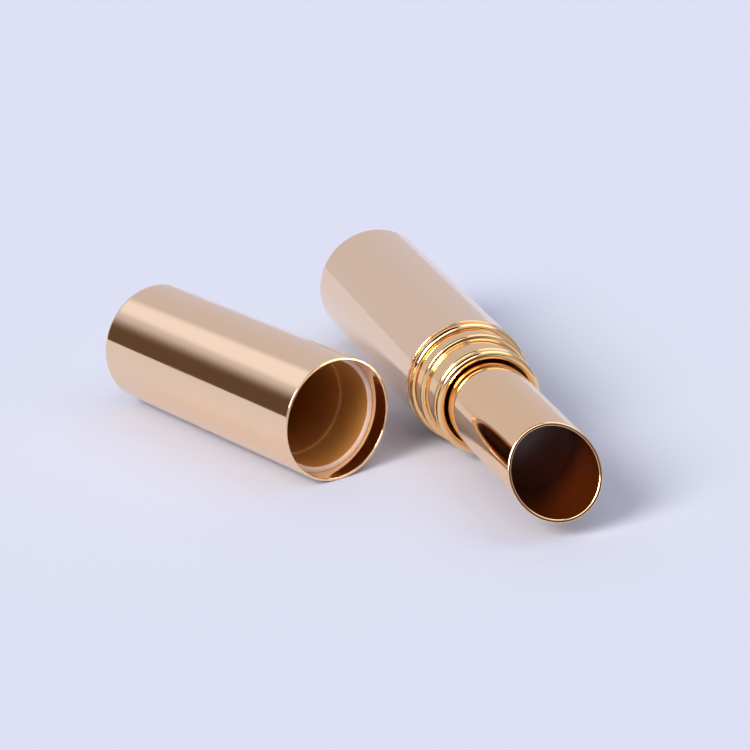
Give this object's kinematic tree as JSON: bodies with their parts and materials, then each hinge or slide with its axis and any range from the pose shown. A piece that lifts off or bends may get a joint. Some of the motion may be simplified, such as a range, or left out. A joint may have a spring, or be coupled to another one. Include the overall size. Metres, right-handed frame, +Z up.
{
  "type": "lipstick case",
  "caption": "Slim twist-up lipstick case in polished gold metal, with a beaded neck, its empty slant-cut cup raised and its cap lying beside it.",
  "frame": {"origin": "on the ground, under the middle of the box that holds the base, the raised cup and the cap lying beside them", "axes": "+Z up from the ground; -Y along the base's axis, out of the cup's mouth; +X from the cap towards the base"},
  "size_m": [0.0538, 0.0886, 0.0172],
  "materials": {
    "gold_shell": "mirror polished, champagne gold anodised",
    "gold_neck": "mirror polished, champagne gold anodised",
    "gold_cup": "mirror polished, champagne gold anodised",
    "white_plastic": "moulded, satin",
    "natural_plastic": "moulded, natural acetal",
    "black_plastic": "moulded, glossy",
    "brown_plastic": "moulded, glossy",
    "liner_plastic": "moulded, translucent",
    "ring_rubber": "moulded",
    "weight_steel": "turned"
  },
  "bodies": {
    "base": {"base_shell": "gold_shell", "base_core": "white_plastic", "base_weight": "weight_steel", "guide_ring": "white_plastic", "slot_sleeve": "black_plastic", "friction_ring": "ring_rubber"},
    "collar": {"neck_sleeve": "gold_neck", "bead_ring": "gold_neck", "spiral_sleeve": "natural_plastic"},
    "cup": {"cup_shell": "gold_cup", "cup_carrier": "brown_plastic"},
    "cap": {"cap_shell": "gold_shell", "cap_liner": "liner_plastic"}
  },
  "joints": [
    {"name": "collar_turn", "type": "hinge", "parent": "base", "child": "collar", "pos_m": [0.01828, -0.00373, 0.0086], "axis": [0, -1, 0], "range_deg": [0, 558.01]},
    {"name": "cup_rise", "type": "slide", "parent": "base", "child": "cup", "axis": [0, -1, 0], "range_m": [-0.031, 0]},
    {"name": "cap_slide", "type": "slide", "parent": "base", "child": "cap", "axis": [-0.3665, 0.9304, 0], "range_m": [0, 0.045]}
  ],
  "couplings": [
    {"joint": "collar_turn", "follows": "cup_rise", "rad_per_m": -314.16}
  ]
}
